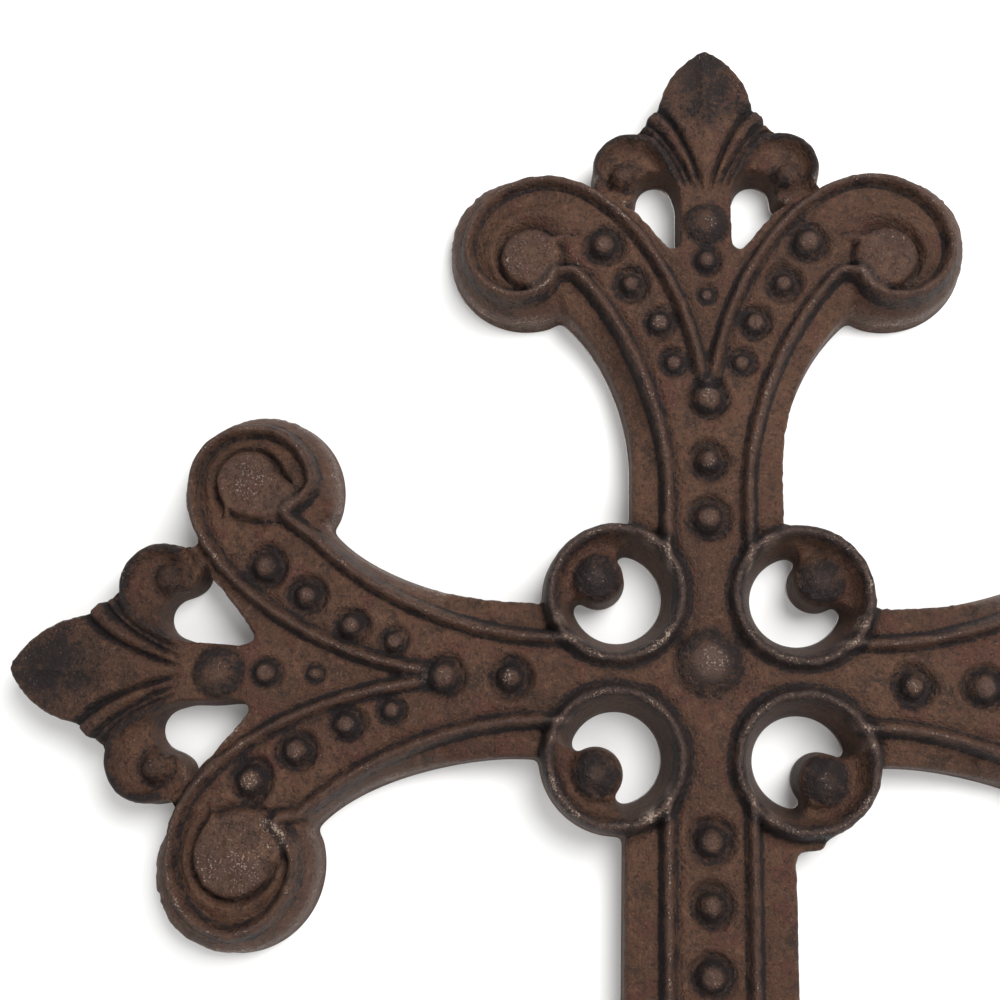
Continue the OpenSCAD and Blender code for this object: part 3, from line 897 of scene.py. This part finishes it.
def hanging_hole(body):
    """The blind hole in the back. Gives back the points of its mouth."""
    n = HOLE_SIDES
    turn = arc((0, HANG_H), HANG_R, 0, 360 - 360 / n, n - 1)
    rows = [body.add(turn, [h] * n, [0.1] * n, [0.7] * n) for h in (0.0, HANG_DEPTH / 2, HANG_DEPTH)]
    for a, b in zip(rows, rows[1:]):
        body.faces += [(a[i], a[(i + 1) % n], b[(i + 1) % n], b[i]) for i in range(n)]
    body.faces.append(tuple(rows[-1]))
    return rows[0]


def back_face(body, loops):
    """The flat back inside its outer loop and round the others."""
    ids = [i for loop in loops for i in loop]
    flat = [np.array([(body.verts[i][0], body.verts[i][2]) for i in loop]) for loop in loops]
    plan, given, tris = triangulate(np.vstack(flat), loop_edges(loops))
    tris = tris[within(plan[tris].mean(1), flat)]
    body.faces += [tuple(ids[given[i]] for i in t) for t in turned(plan, tris, -1)]


def cast_cross():
    """The whole casting as one closed mesh."""
    body = Body()
    tops = front_face(body)
    loops = [side_wall(body, rows, top) for rows, top in zip(walls, tops)]
    back_face(body, loops + [hanging_hole(body)])
    mesh = bpy.data.meshes.new("cast_cross")
    mesh.from_pydata([(x * MM, y * MM, (z - HANG_H) * MM) for x, y, z in body.verts], [], body.faces)
    mesh.validate()
    for name, values in (("wear", body.wear), ("soot", body.soot)):
        layer = mesh.attributes.new(name, "FLOAT", "POINT")
        layer.data.foreach_set("value", np.array(values, np.float32))
    mesh.polygons.foreach_set("use_smooth", [True] * len(mesh.polygons))
    mesh.update()
    return place("cast_cross", mesh)


# ---------------------------------------------------------------- materials
class Nodes:
    """The node tree of a material or world, emptied and filled again."""

    def __init__(self, owner):
        owner.use_nodes = True
        self.tree = owner.node_tree
        self.tree.nodes.clear()

    def new(self, kind, **values):
        node = self.tree.nodes.new(kind)
        for key, value in values.items():
            if hasattr(node, key):
                setattr(node, key, value)
            else:
                node.inputs[key.replace("_", " ")].default_value = value
        return node

    def link(self, a, b):
        self.tree.links.new(a, b)

    def fill(self, slots, values):
        """Sets or links each value into its socket."""
        for slot, value in zip(slots, values):
            if isinstance(value, (int, float, tuple)):
                slot.default_value = value
            else:
                self.link(value, slot)

    def math(self, op, a, b):
        node = self.new("ShaderNodeMath", operation=op)
        self.fill(node.inputs, (a, b))
        return node.outputs[0]

    def sum(self, first, *rest):
        for term in rest:
            first = self.math("ADD", first, term)
        return first

    def swing(self, value, width):
        """A noise value moved to swing about zero."""
        return self.math("MULTIPLY", self.math("SUBTRACT", value, 0.5), width)

    def ramp(self, value, lo, hi, high=1.0):
        """A smooth step from 0 up to a height."""
        node = self.new("ShaderNodeMapRange", interpolation_type="SMOOTHSTEP")
        for key, at in (("From Min", lo), ("From Max", hi), ("To Min", 0.0), ("To Max", high)):
            node.inputs[key].default_value = at
        self.link(value, node.inputs["Value"])
        return node.outputs["Result"]

    def mix(self, fac, a, b):
        node = self.new("ShaderNodeMix", data_type="RGBA")
        self.fill([node.inputs[i] for i in (0, 6, 7)], (fac, a, b))
        return node.outputs[2]

    def blend(self, fac, a, b):
        node = self.new("ShaderNodeMixShader")
        self.fill(node.inputs, (fac, a.outputs[0], b.outputs[0]))
        return node

    def noise(self, coords, scale, detail, rough):
        node = self.new("ShaderNodeTexNoise", Scale=scale, Detail=detail, Roughness=rough)
        self.link(coords, node.inputs["Vector"])
        return node.outputs["Fac"]


def srgb(r, g, b):
    """A linear colour from 8-bit values."""
    shares = (r / 255, g / 255, b / 255)
    return (*(c / 12.92 if c <= 0.04045 else ((c + 0.055) / 1.055) ** 2.4 for c in shares), 1.0)


def iron_material():
    """Mottled rust brown patina, dark in the hollows and worn to bare specks on the high spots, with a
    painted sheen, a lighter grey-brown tint, over the high spots and the outer walls.
    """
    mat = bpy.data.materials.new("antique_cast_iron")
    n = Nodes(mat)
    coords = n.new("ShaderNodeTexCoord").outputs["Object"]
    wear = n.new("ShaderNodeAttribute", attribute_name="wear").outputs["Fac"]
    soot = n.new("ShaderNodeAttribute", attribute_name="soot").outputs["Fac"]
    broad = n.noise(coords, 45, 3, 0.6)
    patch = n.noise(coords, 190, 5, 0.65)
    spots = n.noise(coords, 520, 3, 0.6)
    grain = n.noise(coords, 1300, 4, 0.7)
    fine = n.noise(coords, 2700, 2, 0.7)
    mottle = n.swing(grain, 2.6)
    colour = n.mix(n.ramp(broad, 0.38, 0.64), srgb(70, 46, 33), srgb(82, 56, 41))
    # painted sheen: the colour is lifted to a lighter grey-brown where the mask above is high (rims, bead
    # tops, the boss, the eyes and the outer walls), standing in for a glint; the roughness is lowered there
    # as well
    sheen = n.ramp(n.sum(wear, n.math("MULTIPLY", mottle, 0.6)), 0.30, 0.95, 0.5)
    bare = n.sum(wear, n.swing(fine, 3.4), n.swing(patch, 2.2), n.swing(broad, 1.3))
    layers = (
        (n.ramp(patch, 0.50, 0.66), (76, 45, 35)),
        (n.ramp(patch, 0.46, 0.34), (54, 37, 27)),
        (n.ramp(spots, 0.44, 0.30, 0.6), (50, 33, 24)),
        (n.ramp(spots, 0.56, 0.70, 0.6), (97, 68, 51)),
        (n.ramp(grain, 0.55, 0.30, 0.85), (38, 27, 22)),
        (n.ramp(fine, 0.55, 0.76, 0.55), (114, 88, 74)),
        (n.ramp(n.sum(soot, mottle, n.swing(patch, 1.3)), 0.22, 0.85, 0.96), (22, 16, 16)),
        (sheen, (93, 72, 63)),
        (n.ramp(bare, 1.0, 1.5, 0.8), (152, 135, 120)))
    for share, tint in layers:
        colour = n.mix(share, colour, srgb(*tint))
    bump = n.new("ShaderNodeBump", Strength=1.0, Distance=0.00056)
    pitted = n.sum(grain, n.math("MULTIPLY", fine, 0.45), n.math("MULTIPLY", patch, 1.4))
    n.link(pitted, bump.inputs["Height"])
    smoother = n.math("SUBTRACT", 0.47, n.math("MULTIPLY", sheen, 0.22))
    iron = n.new("ShaderNodeBsdfPrincipled", Specular_IOR_Level=0.26)
    n.link(colour, iron.inputs["Base Color"])
    n.link(n.sum(n.math("MULTIPLY", grain, 0.3), smoother), iron.inputs["Roughness"])
    n.link(bump.outputs[0], iron.inputs["Normal"])
    n.link(iron.outputs[0], n.new("ShaderNodeOutputMaterial").inputs["Surface"])
    return mat


def wall_material():
    """Pale paper, plain white where it is seen far from the cross."""
    mat = bpy.data.materials.new("pale_wall")
    n = Nodes(mat)
    path = n.new("ShaderNodeLightPath").outputs
    away = n.new("ShaderNodeVectorMath", operation="LENGTH")
    n.link(n.new("ShaderNodeTexCoord").outputs["Object"], away.inputs[0])
    seen = n.math("MAXIMUM", path["Is Glossy Ray"], path["Is Transmission Ray"])
    seen = n.math("MAXIMUM", path["Is Camera Ray"], seen)
    far = n.math("MULTIPLY", seen, n.ramp(away.outputs["Value"], 0.22, 0.50))
    paper = n.new("ShaderNodeBsdfDiffuse", Color=(0.86, 0.86, 0.85, 1))
    front = n.blend(far, paper, n.new("ShaderNodeEmission", Strength=1.0))
    # light reaches the iron's back through the wall it touches, and the wall's own back isn't seen
    touching = n.math("LESS_THAN", path["Ray Length"], 4 * GAP)
    clear = n.math("MAXIMUM", n.new("ShaderNodeNewGeometry").outputs["Backfacing"], touching)
    surface = n.blend(clear, front, n.new("ShaderNodeBsdfTransparent"))
    n.link(surface.outputs[0], n.new("ShaderNodeOutputMaterial").inputs["Surface"])
    return mat


cross = cast_cross()
cross.data.materials.append(iron_material())
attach(cross, "root")
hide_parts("cross")

# ---------------------------------------------------------------- backdrop: a pale wall, clear from behind
SPAN, GAP = 3.0, 0.0002                  # half its width, and how far it is behind the cross, in metres
sheet = bpy.data.meshes.new("backdrop")
corners = [(x * SPAN, GAP, z * SPAN) for x, z in ((-1, -1), (1, -1), (1, 1), (-1, 1))]
sheet.from_pydata(corners, [], [(0, 1, 2, 3)])
sheet.materials.append(wall_material())
backdrop = place("backdrop", sheet)

# ---------------------------------------------------------------- camera and light
VIEW_FROM = Vector((-19.2, -200.6 - THICK, -14.0 - HANG_H)) * MM
VIEW_ANGLES = (101.775, -1.485, 3.949)   # pitch, roll and turn, in degrees
camera = place("camera", bpy.data.cameras.new("camera"))
camera.data.sensor_width = 36
camera.data.lens = 45
camera.data.clip_start = 0.01
camera.location = VIEW_FROM
camera.rotation_euler = [math.radians(a) for a in VIEW_ANGLES]
bpy.context.scene.camera = camera


def area_light(name, at, aim, size, power):
    """A round lamp, its size in metres and its power in watts."""
    lamp = bpy.data.lights.new(name, "AREA")
    lamp.shape = "DISK"
    lamp.size, lamp.energy = size, power
    ob = place(name, lamp)
    ob.location = at
    ob.rotation_euler = (Vector(aim) - Vector(at)).to_track_quat("-Z", "Y").to_euler()


area_light("key", (0.22, -0.52, 0.20), (0.02, 0, 0), 0.4, 4.3)
area_light("low", (0.10, -0.60, -0.45), (0, 0, -0.03), 0.5, 1.5)
area_light("behind", (-0.5, 1.0, 0.4), (0, 0, -0.1), 0.8, 12)


def studio():
    """Soft light from all round, which the camera sees as plain white."""
    world = bpy.data.worlds.new("studio")
    n = Nodes(world)
    soft = n.new("ShaderNodeBackground", Strength=0.72)
    white = n.new("ShaderNodeBackground", Color=(1, 1, 1, 1), Strength=1.0)
    shown = n.blend(n.new("ShaderNodeLightPath").outputs["Is Camera Ray"], soft, white)
    n.link(shown.outputs[0], n.new("ShaderNodeOutputWorld").inputs["Surface"])
    return world


bpy.context.scene.world = studio()
bpy.context.scene.view_settings.view_transform = "Standard"
